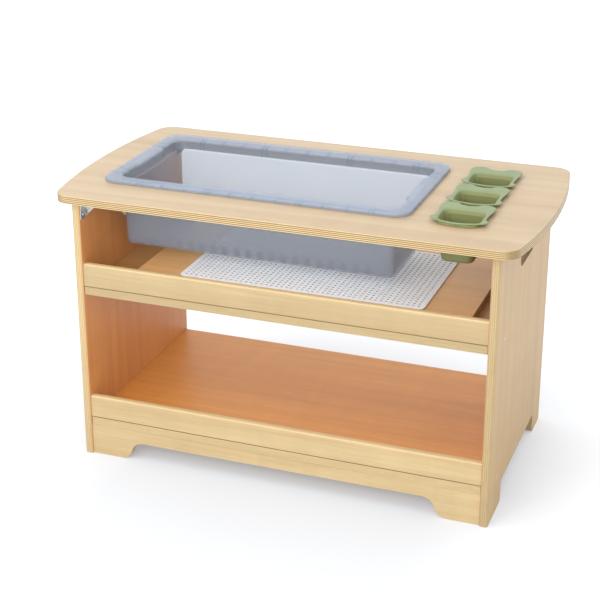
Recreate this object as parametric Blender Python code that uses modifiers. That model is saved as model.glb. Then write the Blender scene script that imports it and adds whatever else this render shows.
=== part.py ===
"""Sand and water table: a plywood stand with two shelves, a lift-out tub and three lift-out cups.

Metres, +Z up. The origin is on the floor under the middle of the tabletop. +X runs along the
table to the cup end, and -Y is the front, the side with the shelf lips.
"""

import math

import bmesh
import bpy
from mathutils import Matrix, Vector

# Sheet material and the small gap kept between pieces that touch
PLY = 0.018
GAP = 0.0003

# Sides of a turned piece and of a pilot hole
ROUND_STEPS = 12
PILOT_STEPS = 10

# Stand: outer width over the side panels, depth, and height to the underside of the tabletop
STAND_WIDTH = 0.935
STAND_DEPTH = 0.524
PANEL_HEIGHT = 0.604
PANEL_EDGE_RADIUS = 0.004

# Tabletop: straight front and rear edges, bowed ends
TOP_HALF_LENGTH = 0.527
TOP_END_BOW = 0.029
TOP_HALF_DEPTH = 0.281
TOP_CORNER_RADIUS = 0.038
TOP_EDGE_RADIUS = 0.0082
TOP_EDGE_STEPS = 6

# Shelves, by the height of their top faces, and the lips standing on their front edges
MIDDLE_SHELF_TOP = 0.409
BOTTOM_SHELF_TOP = 0.0915
SHELF_SETBACK = 0.004
SHELF_CORNER_CUT = 0.001
LIP_HEIGHT = 0.053
LIP_EDGE_RADIUS = 0.006

# Flat-topped arches, each with an S-curve beside its feet. The side arch is nearer the rear.
KICK_FOOT = 0.069
KICK_ARCH_HEIGHT = 0.044
KICK_CURVE_RUN = 0.056
SIDE_FOOT = 0.0865
SIDE_ARCH_HEIGHT = 0.049
SIDE_CURVE_RUN = 0.025
SIDE_ARCH_Y = 0.0165

# Handhold slot through each side panel
SLOT_LENGTH = 0.132
SLOT_WIDTH = 0.036
SLOT_BOTTOM = 0.506
SLOT_END_RADIUS = 0.0175

# Tub: rim outline, wall taper and depth below the tabletop's upper face
TUB_CENTRE = Vector((-0.097, 0.0145))
TUB_HALF_LENGTH = 0.349
TUB_HALF_DEPTH = 0.185
TUB_CORNER_RADIUS = 0.036
TUB_RIM_WIDTH = 0.029
TUB_RIM_HEIGHT = 0.0095
TUB_BELOW_TOP = 0.152
TUB_WALL = 0.003
TUB_LEDGE_DEPTH = 0.026
TUB_LEDGE = 0.004
TUB_TAPER = 0.008
TUB_CUTOUT_MARGIN = 0.0035
TUB_EDGE_RADIUS = 0.002
TUB_FLOOR_CURVE = 0.008
TUB_LOWER_RADIUS = 0.012

# Cups: a row of three along Y, each with a shaped flange that nests with its neighbour's
CUP_X = 0.3545
CUP_FIRST_Y = -0.137
CUP_PITCH = 0.126
CUP_TOP_HALF = Vector((0.043, 0.040))
CUP_BASE_HALF = Vector((0.033, 0.031))
CUP_BELOW_TOP = 0.081
CUP_WALL = 0.0022
CUP_FRONT_RADIUS = 0.022
CUP_REAR_RADIUS = 0.012
CUP_COLLAR = 0.003
CUP_COLLAR_HEIGHT = 0.0062
CUP_FLANGE = 0.003
CUP_CUTOUT_MARGIN = 0.0012
CUP_FLOOR_CURVE = 0.006

# Cover board for the tub, stored on the middle shelf, with the drain mat lying on it
COVER_SIZE = Vector((0.760, 0.440, PLY))
COVER_X = 0.0145
COVER_FRONT_GAP = 0.004
COVER_CORNER_RADIUS = 0.012
COVER_EDGE_RADIUS = 0.002
MAT_SIZE = Vector((0.554, 0.320, 0.003))
MAT_FRONT_Y = -0.1725
MAT_CORNER_RADIUS = 0.012

# Brackets between the side panels and the tabletop. The reach is from the table's middle line to
# a bracket's outer edge, at the left panel (-1) and at the right panel (1).
BRACKET_LEG = 0.040
BRACKET_WIDTH = 0.020
BRACKET_STEEL = 0.002
BRACKET_REACH = {-1: 0.258, 1: 0.200}
BRACKET_WEB_INSET = 0.004
BRACKET_WEB_CUT = 0.002
BRACKET_SCREW_REACH = 0.030
BRACKET_HOLE_RADIUS = 0.0024
BRACKET_SCREW_LENGTH = 0.014
BRACKET_HEAD_RADIUS = 0.0045
BRACKET_HEAD_HEIGHT = 0.0026

# Screws through the side panels into the shelf ends, under wooden plugs
SCREW_Y = 0.191
SCREW_LENGTH = 0.046
SCREW_RADIUS = 0.0025
SCREW_HEAD_RADIUS = 0.0045
SCREW_HEAD_HEIGHT = 0.003
PLUG_RADIUS = 0.005
PLUG_HEIGHT = 0.004
PLUG_CHAMFER = 0.001
SCREW_POINT = 0.004

# Heights and faces that follow from the above
TOP_FACE = PANEL_HEIGHT + PLY
INNER_X = STAND_WIDTH / 2 - PLY
FRONT_Y = -STAND_DEPTH / 2
SHELF_FRONT_Y = FRONT_Y + SHELF_SETBACK
SHELF_LENGTH = 2 * (INNER_X - GAP)
SHELF_DEPTH = STAND_DEPTH - 2 * SHELF_SETBACK
TUB_BODY_HALF = Vector((TUB_HALF_LENGTH - TUB_RIM_WIDTH, TUB_HALF_DEPTH - TUB_RIM_WIDTH))
TUB_BODY_RADIUS = TUB_CORNER_RADIUS - 0.006

BIRCH_FACE = (0.72, 0.55, 0.36, 1.0)
BIRCH_PLUG = (0.78, 0.62, 0.42, 1.0)
TUB_BLUE = (0.62, 0.68, 0.78, 1.0)
SAGE_GREEN = (0.33, 0.39, 0.20, 1.0)
MAT_WHITE = (0.82, 0.84, 0.87, 1.0)
ZINC = (0.72, 0.72, 0.70, 1.0)

# Where the local x, y and z of a flat outline point, for a board facing up, sideways or forwards
FACING_UP = Matrix.Identity(4)
FACING_X = Matrix(((0, 0, 1, 0), (1, 0, 0, 0), (0, 1, 0, 0), (0, 0, 0, 1)))
FACING_Y = Matrix(((1, 0, 0, 0), (0, 0, -1, 0), (0, 1, 0, 0), (0, 0, 0, 1)))


def clear_scene():
    for obj in list(bpy.data.objects):
        bpy.data.objects.remove(obj, do_unlink=True)


def new_collection(name):
    collection = bpy.data.collections.new(name)
    bpy.context.scene.collection.children.link(collection)
    return collection


def new_material(name, colour, roughness, metallic=0.0):
    material = bpy.data.materials.new(name)
    material.use_nodes = True
    shader = material.node_tree.nodes["Principled BSDF"]
    shader.inputs["Base Color"].default_value = colour
    shader.inputs["Roughness"].default_value = roughness
    shader.inputs["Metallic"].default_value = metallic
    return material


clear_scene()
PARTS = new_collection("sand_and_water_table")
CUTTERS = new_collection("cutters")
WOOD = new_material("birch_plywood", BIRCH_FACE, 0.45)
PLUG_WOOD = new_material("wood_plug", BIRCH_PLUG, 0.5)
TUB_PLASTIC = new_material("tub_plastic", TUB_BLUE, 0.2)
CUP_PLASTIC = new_material("cup_plastic", SAGE_GREEN, 0.45)
MAT_PLASTIC = new_material("mat_plastic", MAT_WHITE, 0.5)
STEEL = new_material("zinc_plated_steel", ZINC, 0.35, 1.0)


def arc(centre, radius, start, end, steps):
    """Points along an arc, angles in degrees, both ends included."""
    angles = [math.radians(start + (end - start) * i / steps) for i in range(steps + 1)]
    return [
        (centre[0] + radius * math.cos(a), centre[1] + radius * math.sin(a)) for a in angles
    ]


def rounded_rectangle(half, radius, centre=(0.0, 0.0), steps=4):
    points = []
    for start, sx, sy in ((0, 1, 1), (90, -1, 1), (180, -1, -1), (270, 1, -1)):
        corner = (centre[0] + sx * (half[0] - radius), centre[1] + sy * (half[1] - radius))
        points += arc(corner, radius, start, start + 90, steps)
    return points


def mirrored(points):
    """A closed outline from its right half, listed from bottom to top at x >= 0."""
    return points + [(-x, y) for x, y in reversed(points) if x > 1e-6]


def finish(obj, material, collection=PARTS):
    obj.data.materials.clear()
    obj.data.materials.append(material)
    collection.objects.link(obj)
    return obj


def prism(name, outlines, thickness, facing, centre, material, collection=PARTS):
    """A flat outline, with any inner outlines as holes, given a thickness."""
    curve = bpy.data.curves.new(name + "_outline", "CURVE")
    curve.dimensions = "2D"
    curve.fill_mode = "BOTH"
    curve.extrude = thickness / 2
    for outline in outlines:
        spline = curve.splines.new("POLY")
        spline.points.add(len(outline) - 1)
        for point, (x, y) in zip(spline.points, outline):
            point.co = (x, y, 0.0, 1.0)
        spline.use_cyclic_u = True
    guide = bpy.data.objects.new(name + "_outline", curve)
    guide.matrix_world = Matrix.Translation(centre) @ facing
    bpy.context.scene.collection.objects.link(guide)
    graph = bpy.context.evaluated_depsgraph_get()
    mesh = bpy.data.meshes.new_from_object(guide.evaluated_get(graph))
    mesh.name = name
    weld(mesh)
    obj = bpy.data.objects.new(name, mesh)
    obj.matrix_world = guide.matrix_world
    bpy.data.objects.remove(guide, do_unlink=True)
    return finish(obj, material, collection)


def weld(mesh):
    builder = bmesh.new()
    builder.from_mesh(mesh)
    bmesh.ops.remove_doubles(builder, verts=builder.verts, dist=0.00001)
    bmesh.ops.recalc_face_normals(builder, faces=builder.faces)
    builder.to_mesh(mesh)
    builder.free()


def turned(name, profile, axis_matrix, material, collection=PARTS, steps=ROUND_STEPS):
    """A solid of revolution about the local z, its profile running down its outer side."""
    mesh = bpy.data.meshes.new(name)
    edges = [(i, i + 1) for i in range(len(profile) - 1)]
    mesh.from_pydata([(r, 0.0, z) for r, z in profile], edges, [])
    obj = bpy.data.objects.new(name, mesh)
    obj.matrix_world = axis_matrix
    screw = obj.modifiers.new("turn", "SCREW")
    screw.steps = steps
    screw.render_steps = steps
    screw.use_merge_vertices = True
    screw.merge_threshold = 0.00001
    return finish(obj, material, collection)


def loft(name, rings, centre, material, collection=PARTS):
    """An open surface through rings of equal point counts, closed across the last ring."""
    builder = bmesh.new()
    loops = []
    for outline, z in rings:
        verts = [builder.verts.new((x, y, z)) for x, y in outline]
        loops.append([builder.edges.new((a, b)) for a, b in zip(verts, verts[1:] + verts[:1])])
    for upper, lower in zip(loops, loops[1:]):
        bmesh.ops.bridge_loops(builder, edges=upper + lower)
    bmesh.ops.contextual_create(builder, geom=loops[-1])
    bmesh.ops.recalc_face_normals(builder, faces=builder.faces)
    mesh = bpy.data.meshes.new(name)
    builder.to_mesh(mesh)
    builder.free()
    obj = bpy.data.objects.new(name, mesh)
    obj.location = centre
    return finish(obj, material, collection)


def tapered_block(name, rings, centre, material, collection=PARTS):
    """A loft closed across its first ring as well."""
    obj = loft(name, rings, centre, material, collection)
    builder = bmesh.new()
    builder.from_mesh(obj.data)
    rim = [edge for edge in builder.edges if edge.is_boundary]
    bmesh.ops.contextual_create(builder, geom=rim)
    bmesh.ops.recalc_face_normals(builder, faces=builder.faces)
    builder.to_mesh(obj.data)
    builder.free()
    return obj


def bevel(obj, width, segments=2, angle=50):
    modifier = obj.modifiers.new("rounded_edges", "BEVEL")
    modifier.width = width
    modifier.segments = segments
    modifier.limit_method = "ANGLE"
    modifier.angle_limit = math.radians(angle)
    return obj


def as_cutter(obj):
    obj.hide_render = True
    obj.display_type = "WIRE"
    return obj


def combine(obj, other, operation):
    as_cutter(other)
    modifier = obj.modifiers.new(other.name, "BOOLEAN")
    modifier.operation = operation
    modifier.object = other
    modifier.solver = "EXACT"


def cutting_prism(name, outline, thickness, facing, centre):
    return prism(name, [outline], thickness, facing, centre, WOOD, CUTTERS)


def cutting_cylinder(name, radius, length, axis_matrix, steps=ROUND_STEPS):
    profile = [(0.0, length / 2), (radius, length / 2), (radius, -length / 2), (0.0, -length / 2)]
    return turned(name, profile, axis_matrix, WOOD, CUTTERS, steps)


def arch_outline(half_width, height, run):
    """An arch with an S-curve of two equal arcs beside each foot, reaching below the floor line."""
    sweep = min(90.0, math.degrees(2 * math.atan2(height, run)))
    radius = run / 2 / math.sin(math.radians(sweep))
    foot = arc((half_width, radius), radius, 270, 270 - sweep, 5)
    shoulder = arc((half_width - run, height - radius), radius, 90 - sweep, 90, 5)
    return mirrored([(half_width, -PLY)] + foot + shoulder)


def end_radius():
    return (TOP_HALF_DEPTH**2 + TOP_END_BOW**2) / (2 * TOP_END_BOW)


def tabletop_outline():
    """Straight long edges, one shallow arc at each end, and a fillet in each corner."""
    radius = end_radius()
    bow_centre = TOP_HALF_LENGTH - radius
    fillet_y = TOP_HALF_DEPTH - TOP_CORNER_RADIUS
    fillet_reach = math.sqrt((radius - TOP_CORNER_RADIUS) ** 2 - fillet_y**2)
    meet = math.degrees(math.asin(fillet_y / (radius - TOP_CORNER_RADIUS)))
    fillet_x = bow_centre + fillet_reach
    lower = arc((fillet_x, -fillet_y), TOP_CORNER_RADIUS, -90, -meet, 8)
    end = arc((bow_centre, 0.0), radius, -meet, meet, 14)
    upper = arc((fillet_x, fillet_y), TOP_CORNER_RADIUS, meet, 90, 8)
    return mirrored(lower + end[1:-1] + upper)


def cup_places():
    return [
        (name, Vector((CUP_X, CUP_FIRST_Y + i * CUP_PITCH)))
        for i, name in enumerate(("cup_front", "cup_middle", "cup_rear"))
    ]


def make_tabletop():
    centre = (0.0, 0.0, PANEL_HEIGHT + GAP + (PLY - GAP) / 2)
    thickness = PLY - GAP
    top = prism("tabletop", [tabletop_outline()], thickness, FACING_UP, centre, WOOD)
    bevel(top, TOP_EDGE_RADIUS, TOP_EDGE_STEPS)
    half = TUB_BODY_HALF + Vector((TUB_CUTOUT_MARGIN, TUB_CUTOUT_MARGIN))
    outline = rounded_rectangle(half, TUB_BODY_RADIUS + TUB_CUTOUT_MARGIN, TUB_CENTRE)
    combine(top, cutting_prism("tub_cutout", outline, 3 * PLY, FACING_UP, centre), "DIFFERENCE")
    margin = Vector((CUP_CUTOUT_MARGIN, CUP_CUTOUT_MARGIN))
    for name, place in cup_places():
        outline = cup_section(CUP_TOP_HALF + margin, 0.0, place)
        cutter = cutting_prism(name + "_cutout", outline, 3 * PLY, FACING_UP, centre)
        combine(top, cutter, "DIFFERENCE")
    for name, sx, sy in bracket_corners():
        place = Vector((sx * (INNER_X - BRACKET_SCREW_REACH), sy * bracket_screw_y(sx), PANEL_HEIGHT))
        hole = pilot_hole("top_pilot_" + name, Matrix.Translation(place))
        combine(top, hole, "DIFFERENCE")
    return top


def make_side_panel(name, side):
    """A board with rounded front and rear edges, an arch in its foot and a handhold slot."""
    half = (PLY / 2, STAND_DEPTH / 2)
    centre_x = side * (STAND_WIDTH / 2 - PLY / 2)
    outline = rounded_rectangle(half, PANEL_EDGE_RADIUS)
    middle = (centre_x, 0.0, PANEL_HEIGHT / 2)
    panel = prism(name, [outline], PANEL_HEIGHT, FACING_UP, middle, WOOD)
    through = 3 * PLY
    arch = arch_outline(STAND_DEPTH / 2 - SIDE_FOOT, SIDE_ARCH_HEIGHT, SIDE_CURVE_RUN)
    foot = (centre_x, SIDE_ARCH_Y, 0.0)
    cutter = cutting_prism(name + "_arch", arch, through, FACING_X, foot)
    combine(panel, cutter, "DIFFERENCE")
    slot = rounded_rectangle((SLOT_LENGTH / 2, SLOT_WIDTH / 2), SLOT_END_RADIUS)
    slot_centre = (centre_x, 0.0, SLOT_BOTTOM + SLOT_WIDTH / 2)
    combine(panel, cutting_prism(name + "_slot", slot, through, FACING_X, slot_centre), "DIFFERENCE")
    for label, z in shelf_middles():
        for end, y in (("front", -SCREW_Y), ("rear", SCREW_Y)):
            place = Vector((side * STAND_WIDTH / 2, y, z))
            bore = (
                (0.0, PLY),
                (PLUG_RADIUS + GAP, PLY),
                (PLUG_RADIUS + GAP, -counterbore_depth()),
                (SCREW_RADIUS + GAP, -counterbore_depth()),
                (SCREW_RADIUS + GAP, -2 * PLY),
                (0.0, -2 * PLY),
            )
            cutter = turned(f"{name}_bore_{label}_{end}", bore, along_x(side, place), WOOD, CUTTERS)
            combine(panel, cutter, "DIFFERENCE")
    for corner, sx, sy in bracket_corners():
        if sx == side:
            height = PANEL_HEIGHT - BRACKET_SCREW_REACH
            place = Vector((side * INNER_X, sy * bracket_screw_y(sx), height))
            hole = pilot_hole("panel_pilot_" + corner, along_x(side, place))
            combine(panel, hole, "DIFFERENCE")
    return panel


def counterbore_depth():
    return PLUG_HEIGHT + SCREW_HEAD_HEIGHT + 2 * GAP


def along_x(side, place):
    """The local z turned to point out of the side panel."""
    turn = Matrix.Rotation(side * math.pi / 2, 4, "Y")
    return Matrix.Translation(place) @ turn


def shelf_middles():
    return (
        ("middle", MIDDLE_SHELF_TOP - PLY / 2),
        ("bottom", BOTTOM_SHELF_TOP - PLY / 2),
    )


def make_shelf(name, label, top):
    half = (SHELF_LENGTH / 2, SHELF_DEPTH / 2)
    outline = rounded_rectangle(half, SHELF_CORNER_CUT, steps=1)
    shelf = prism(name, [outline], PLY, FACING_UP, (0.0, 0.0, top - PLY / 2), WOOD)
    depth = SCREW_LENGTH - (PLY - counterbore_depth()) + 2 * GAP
    for side, side_name in ((-1, "left"), (1, "right")):
        for end, y in (("front", -SCREW_Y), ("rear", SCREW_Y)):
            place = Vector((side * SHELF_LENGTH / 2, y, top - PLY / 2))
            hole = cutting_cylinder(
                f"{label}_pilot_{side_name}_{end}", SCREW_RADIUS + GAP, 2 * depth, along_x(side, place)
            )
            combine(shelf, hole, "DIFFERENCE")
    return shelf


def make_lip(name, shelf_top):
    """A board on edge with its two upper edges rounded, standing flush with the shelf's front."""
    radius = LIP_EDGE_RADIUS
    height = LIP_HEIGHT - GAP
    profile = [(-PLY / 2, 0.0), (PLY / 2, 0.0)]
    profile += arc((PLY / 2 - radius, height - radius), radius, 0, 90, 3)
    profile += arc((radius - PLY / 2, height - radius), radius, 90, 180, 3)
    base = (0.0, SHELF_FRONT_Y + PLY / 2, shelf_top + GAP)
    return prism(name, [profile], SHELF_LENGTH, FACING_X, base, WOOD)


def make_kick_panel(name, y):
    height = BOTTOM_SHELF_TOP - PLY - GAP
    half = SHELF_LENGTH / 2
    outline = [(-half, 0.0), (half, 0.0), (half, height), (-half, height)]
    panel = prism(name, [outline], PLY, FACING_Y, (0.0, y, 0.0), WOOD)
    arch = arch_outline(half - KICK_FOOT, KICK_ARCH_HEIGHT, KICK_CURVE_RUN)
    combine(panel, cutting_prism(name + "_arch", arch, 3 * PLY, FACING_Y, (0.0, y, 0.0)), "DIFFERENCE")
    return panel


def make_cover_board():
    outline = rounded_rectangle((COVER_SIZE.x / 2, COVER_SIZE.y / 2), COVER_CORNER_RADIUS)
    board = prism("cover_board", [outline], COVER_SIZE.z, FACING_UP, cover_centre(), WOOD)
    return bevel(board, COVER_EDGE_RADIUS, 1)


def cover_centre():
    lip_back = SHELF_FRONT_Y + PLY
    return Vector((
        COVER_X,
        lip_back + COVER_FRONT_GAP + COVER_SIZE.y / 2,
        MIDDLE_SHELF_TOP + GAP + COVER_SIZE.z / 2,
    ))


def make_mat():
    outline = rounded_rectangle((MAT_SIZE.x / 2, MAT_SIZE.y / 2), MAT_CORNER_RADIUS)
    height = cover_centre().z + COVER_SIZE.z / 2 + GAP + MAT_SIZE.z / 2
    centre = (COVER_X, MAT_FRONT_Y + MAT_SIZE.y / 2, height)
    return prism("mat", [outline], MAT_SIZE.z, FACING_UP, centre, MAT_PLASTIC)


def make_tub():
    """A shell from the rim's skirt, over the rim and down the inside of the walls to the floor."""
    rim_top = TUB_RIM_HEIGHT
    floor = -TUB_BELOW_TOP + TUB_WALL
    inner = TUB_BODY_HALF - Vector((TUB_WALL, TUB_WALL))
    corner = TUB_BODY_RADIUS - TUB_WALL
    lower = TUB_LOWER_RADIUS
    outer = Vector((TUB_HALF_LENGTH, TUB_HALF_DEPTH))

    def ring(half, inset, radius, z):
        shape = rounded_rectangle(half - Vector((inset, inset)), radius, steps=5)
        return shape, z

    edge = TUB_EDGE_RADIUS
    curve = TUB_FLOOR_CURVE
    ledge_top = rim_top - TUB_LEDGE_DEPTH
    rings = [
        ring(outer, 0.0, TUB_CORNER_RADIUS, GAP),
        ring(outer, 0.0, TUB_CORNER_RADIUS, rim_top - edge),
        ring(outer, 1.5 * edge, TUB_CORNER_RADIUS - edge, rim_top),
        ring(inner, -edge, corner + edge, rim_top),
        ring(inner, 0.0, corner, rim_top - edge),
        ring(inner, edge / 2, corner, ledge_top),
        ring(inner, edge / 2 + TUB_LEDGE, lower, ledge_top - edge),
        ring(inner, TUB_TAPER, lower, floor + curve),
        ring(inner, TUB_TAPER + curve / 4, lower, floor + curve / 3),
        ring(inner, TUB_TAPER + curve, lower - curve / 2, floor),
    ]
    tub = loft("tub", rings, (TUB_CENTRE.x, TUB_CENTRE.y, TOP_FACE), TUB_PLASTIC)
    shell = tub.modifiers.new("wall", "SOLIDIFY")
    shell.thickness = TUB_WALL
    shell.offset = -1.0
    shell.use_even_offset = True
    return tub


def flange_outline():
    """Bowed front with a flared tip each side, a waist, and two round lobes at the rear."""
    front = arc((0.0, 0.052), 0.097, 270, 305, 6)
    tip = arc((0.0548, -0.0180), 0.0060, -45, 55, 4)
    waist = arc((0.2243, 0.0070), 0.1720, 184.5, 168, 4)
    lobe = arc((0.0365, 0.0615), 0.0212, -20, 150, 9)
    hollow = arc((0.0, 0.105), 0.0380, 296, 270, 3)
    return mirrored(front + tip + waist + lobe + hollow)


def cup_section(half, tighter=0.0, centre=(0.0, 0.0)):
    """A box shape whose front corners are rounder than its rear ones."""
    points = []
    for start, sx, sy in ((0, 1, 1), (90, -1, 1), (180, -1, -1), (270, 1, -1)):
        radius = (CUP_REAR_RADIUS if sy > 0 else CUP_FRONT_RADIUS) - tighter
        corner = (centre[0] + sx * (half[0] - radius), centre[1] + sy * (half[1] - radius))
        points += arc(corner, radius, start, start + 90, 4)
    return points


def make_cup(name, place):
    """A shaped flange over a collar that rests on the tabletop, and a tapered box-shaped body."""
    under = GAP + CUP_COLLAR_HEIGHT
    rim_top = under + CUP_FLANGE
    origin = (place.x, place.y, TOP_FACE)
    middle = (place.x, place.y, TOP_FACE + under + CUP_FLANGE / 2)
    cup = prism(name, [flange_outline()], CUP_FLANGE, FACING_UP, middle, CUP_PLASTIC)
    collar_half = CUP_TOP_HALF + Vector((CUP_COLLAR, CUP_COLLAR))
    collar = cup_section(collar_half, -CUP_COLLAR)
    collar_height = CUP_COLLAR_HEIGHT + CUP_FLANGE / 2
    collar_middle = (place.x, place.y, TOP_FACE + GAP + collar_height / 2)
    block = prism(
        name + "_collar", [collar], collar_height, FACING_UP, collar_middle, CUP_PLASTIC, CUTTERS
    )
    combine(cup, block, "UNION")

    def ring(half, tighter, z):
        return cup_section(half, tighter), z

    wall = Vector((CUP_WALL, CUP_WALL))
    curve = CUP_FLOOR_CURVE
    outside = [
        ring(CUP_TOP_HALF, 0.0, under),
        ring(CUP_BASE_HALF + wall, curve / 3, curve - CUP_BELOW_TOP),
        ring(CUP_BASE_HALF - wall, curve, -CUP_BELOW_TOP),
    ]
    combine(cup, tapered_block(name + "_body", outside, origin, CUP_PLASTIC, CUTTERS), "UNION")
    slope = (CUP_TOP_HALF - CUP_BASE_HALF) / (CUP_BELOW_TOP - curve)
    lift = curve
    inside = [
        ring(CUP_TOP_HALF - wall + slope * lift, CUP_WALL / 2, rim_top + lift),
        ring(CUP_BASE_HALF, curve / 2, CUP_WALL / 2 + curve - CUP_BELOW_TOP),
        ring(CUP_BASE_HALF - 2 * wall, curve, CUP_WALL - CUP_BELOW_TOP),
    ]
    hollow = tapered_block(name + "_hollow", inside, origin, CUP_PLASTIC, CUTTERS)
    combine(cup, hollow, "DIFFERENCE")
    return cup


def bracket_corners():
    return (
        ("front_left", -1, -1),
        ("front_right", 1, -1),
        ("rear_left", -1, 1),
        ("rear_right", 1, 1),
    )


def bracket_screw_y(sx):
    """Distance of the bracket screws from the table's middle line."""
    return BRACKET_REACH[sx] - (BRACKET_WIDTH - BRACKET_STEEL) / 2


def pilot_hole(name, axis_matrix):
    depth = BRACKET_SCREW_LENGTH - BRACKET_STEEL + 2 * GAP
    return cutting_cylinder(name, BRACKET_HOLE_RADIUS + GAP, 2 * depth, axis_matrix, PILOT_STEPS)


def make_bracket(corner, sx, sy):
    """An angle with one leg on the side panel, one under the tabletop and a web between them."""
    leg = BRACKET_LEG
    steel = BRACKET_STEEL
    outer = (sx * (INNER_X - GAP), PANEL_HEIGHT)
    outer_y = sy * BRACKET_REACH[sx]
    inner_y = outer_y - sy * BRACKET_WIDTH

    def placed(shape):
        return [(outer[0] - sx * x, outer[1] - z) for x, z in shape]

    angle = [(0.0, 0.0), (leg, 0.0), (leg, steel), (steel, steel), (steel, leg), (0.0, leg)]
    near = steel / 2
    cut = steel + BRACKET_WEB_CUT
    far = leg - BRACKET_WEB_INSET
    web = [(near, near), (far, near), (far, cut), (cut, far), (near, far)]
    name = "bracket_" + corner
    middle = (0.0, (inner_y + outer_y) / 2, 0.0)
    bracket = prism(name, [placed(angle)], BRACKET_WIDTH, FACING_Y, middle, STEEL)
    web_middle = (0.0, inner_y + sy * steel / 2, 0.0)
    plate = prism(name + "_web", [placed(web)], steel, FACING_Y, web_middle, STEEL, CUTTERS)
    combine(bracket, plate, "UNION")
    panel_place, top_place = bracket_screw_places(sx, sy)
    for label, turn, place in (
        ("panel", along_x(sx, panel_place), panel_place),
        ("top", Matrix.Translation(top_place), top_place),
    ):
        radius = BRACKET_HOLE_RADIUS + GAP
        hole = cutting_cylinder(f"{name}_{label}_hole", radius, 4 * steel, turn, PILOT_STEPS)
        combine(bracket, hole, "DIFFERENCE")
    return bracket


def bracket_screw_places(sx, sy):
    """Where the two screws pass through the bracket's outer faces."""
    y = sy * bracket_screw_y(sx)
    face_x = INNER_X - GAP
    panel_place = Vector((sx * face_x, y, PANEL_HEIGHT - BRACKET_SCREW_REACH))
    top_place = Vector((sx * (INNER_X - BRACKET_SCREW_REACH), y, PANEL_HEIGHT))
    return panel_place, top_place


def make_bracket_screw(name, axis_matrix):
    """A pan-head screw whose local z points into the wood."""
    head = BRACKET_HEAD_RADIUS
    height = BRACKET_HEAD_HEIGHT
    face = -BRACKET_STEEL - GAP
    tip = BRACKET_SCREW_LENGTH - BRACKET_STEEL
    shank = BRACKET_HOLE_RADIUS
    profile = [
        (0.0, tip),
        (shank, tip - 1.2 * shank),
        (shank, face),
        (head, face),
        (head, face - 0.4 * height),
        (head * 0.6, face - 0.9 * height),
        (0.0, face - height),
    ]
    return turned(name, profile, axis_matrix, STEEL)


def make_shelf_screw(name, axis_matrix):
    """A flat-head screw set below its plug, whose local z points out of the side panel."""
    head_top = -PLUG_HEIGHT - GAP
    head_base = head_top - SCREW_HEAD_HEIGHT
    tip = head_base - SCREW_LENGTH
    profile = [
        (0.0, head_top),
        (SCREW_HEAD_RADIUS, head_top),
        (SCREW_HEAD_RADIUS, head_base + GAP),
        (SCREW_RADIUS, head_base + GAP),
        (SCREW_RADIUS, tip + SCREW_POINT),
        (0.0, tip),
    ]
    return turned(name, profile, axis_matrix, STEEL)


def make_plug(name, axis_matrix):
    top = GAP
    profile = [
        (0.0, top),
        (PLUG_RADIUS - PLUG_CHAMFER, top),
        (PLUG_RADIUS, top - PLUG_CHAMFER),
        (PLUG_RADIUS, -PLUG_HEIGHT),
        (0.0, -PLUG_HEIGHT),
    ]
    return turned(name, profile, axis_matrix, PLUG_WOOD)


def make_fasteners():
    for side, side_name in ((-1, "left"), (1, "right")):
        for label, z in shelf_middles():
            for end, y in (("front", -SCREW_Y), ("rear", SCREW_Y)):
                turn = along_x(side, Vector((side * STAND_WIDTH / 2, y, z)))
                where = f"{label}_{side_name}_{end}"
                make_shelf_screw("shelf_screw_" + where, turn)
                make_plug("screw_plug_" + where, turn)
    for corner, sx, sy in bracket_corners():
        panel_place, top_place = bracket_screw_places(sx, sy)
        make_bracket_screw("panel_screw_" + corner, along_x(sx, panel_place))
        make_bracket_screw("top_screw_" + corner, Matrix.Translation(top_place))


def main():
    make_tabletop()
    make_side_panel("side_panel_left", -1)
    make_side_panel("side_panel_right", 1)
    make_shelf("middle_shelf", "middle", MIDDLE_SHELF_TOP)
    make_shelf("bottom_shelf", "bottom", BOTTOM_SHELF_TOP)
    make_lip("middle_shelf_lip", MIDDLE_SHELF_TOP)
    make_lip("bottom_shelf_lip", BOTTOM_SHELF_TOP)
    make_kick_panel("front_kick_panel", SHELF_FRONT_Y + PLY / 2)
    make_kick_panel("rear_kick_panel", -SHELF_FRONT_Y - PLY / 2)
    make_cover_board()
    make_mat()
    make_tub()
    for name, place in cup_places():
        make_cup(name, place)
    for corner, sx, sy in bracket_corners():
        make_bracket(corner, sx, sy)
    make_fasteners()


main()
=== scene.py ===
"""Looks of the sand and water table: plywood stand, clear tub, green cups, cover board and mat.

Lengths are in metres in the model's own frame: X along the table, -Y the front, Z up. Every place
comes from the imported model's boxes, and every size from them or from a value named in its section.
"""

import math

import bmesh
import bpy
from mathutils import Matrix, Vector


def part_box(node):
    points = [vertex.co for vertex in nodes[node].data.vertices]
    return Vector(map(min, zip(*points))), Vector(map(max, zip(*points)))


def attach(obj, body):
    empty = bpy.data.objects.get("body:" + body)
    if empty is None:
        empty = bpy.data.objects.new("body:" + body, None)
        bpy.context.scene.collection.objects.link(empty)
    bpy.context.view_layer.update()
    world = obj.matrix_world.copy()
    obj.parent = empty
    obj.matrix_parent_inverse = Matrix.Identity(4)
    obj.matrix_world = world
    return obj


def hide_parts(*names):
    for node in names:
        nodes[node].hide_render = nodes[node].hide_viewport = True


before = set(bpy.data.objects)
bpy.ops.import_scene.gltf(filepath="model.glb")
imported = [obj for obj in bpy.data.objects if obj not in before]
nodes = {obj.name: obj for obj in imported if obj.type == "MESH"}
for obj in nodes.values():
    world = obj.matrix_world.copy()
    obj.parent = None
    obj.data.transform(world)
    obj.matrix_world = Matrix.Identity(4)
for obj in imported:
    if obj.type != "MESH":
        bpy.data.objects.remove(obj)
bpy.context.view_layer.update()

X, Y, Z = 0, 1, 2

# ---------------------------------------------------------------- camera, floor and light

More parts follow.
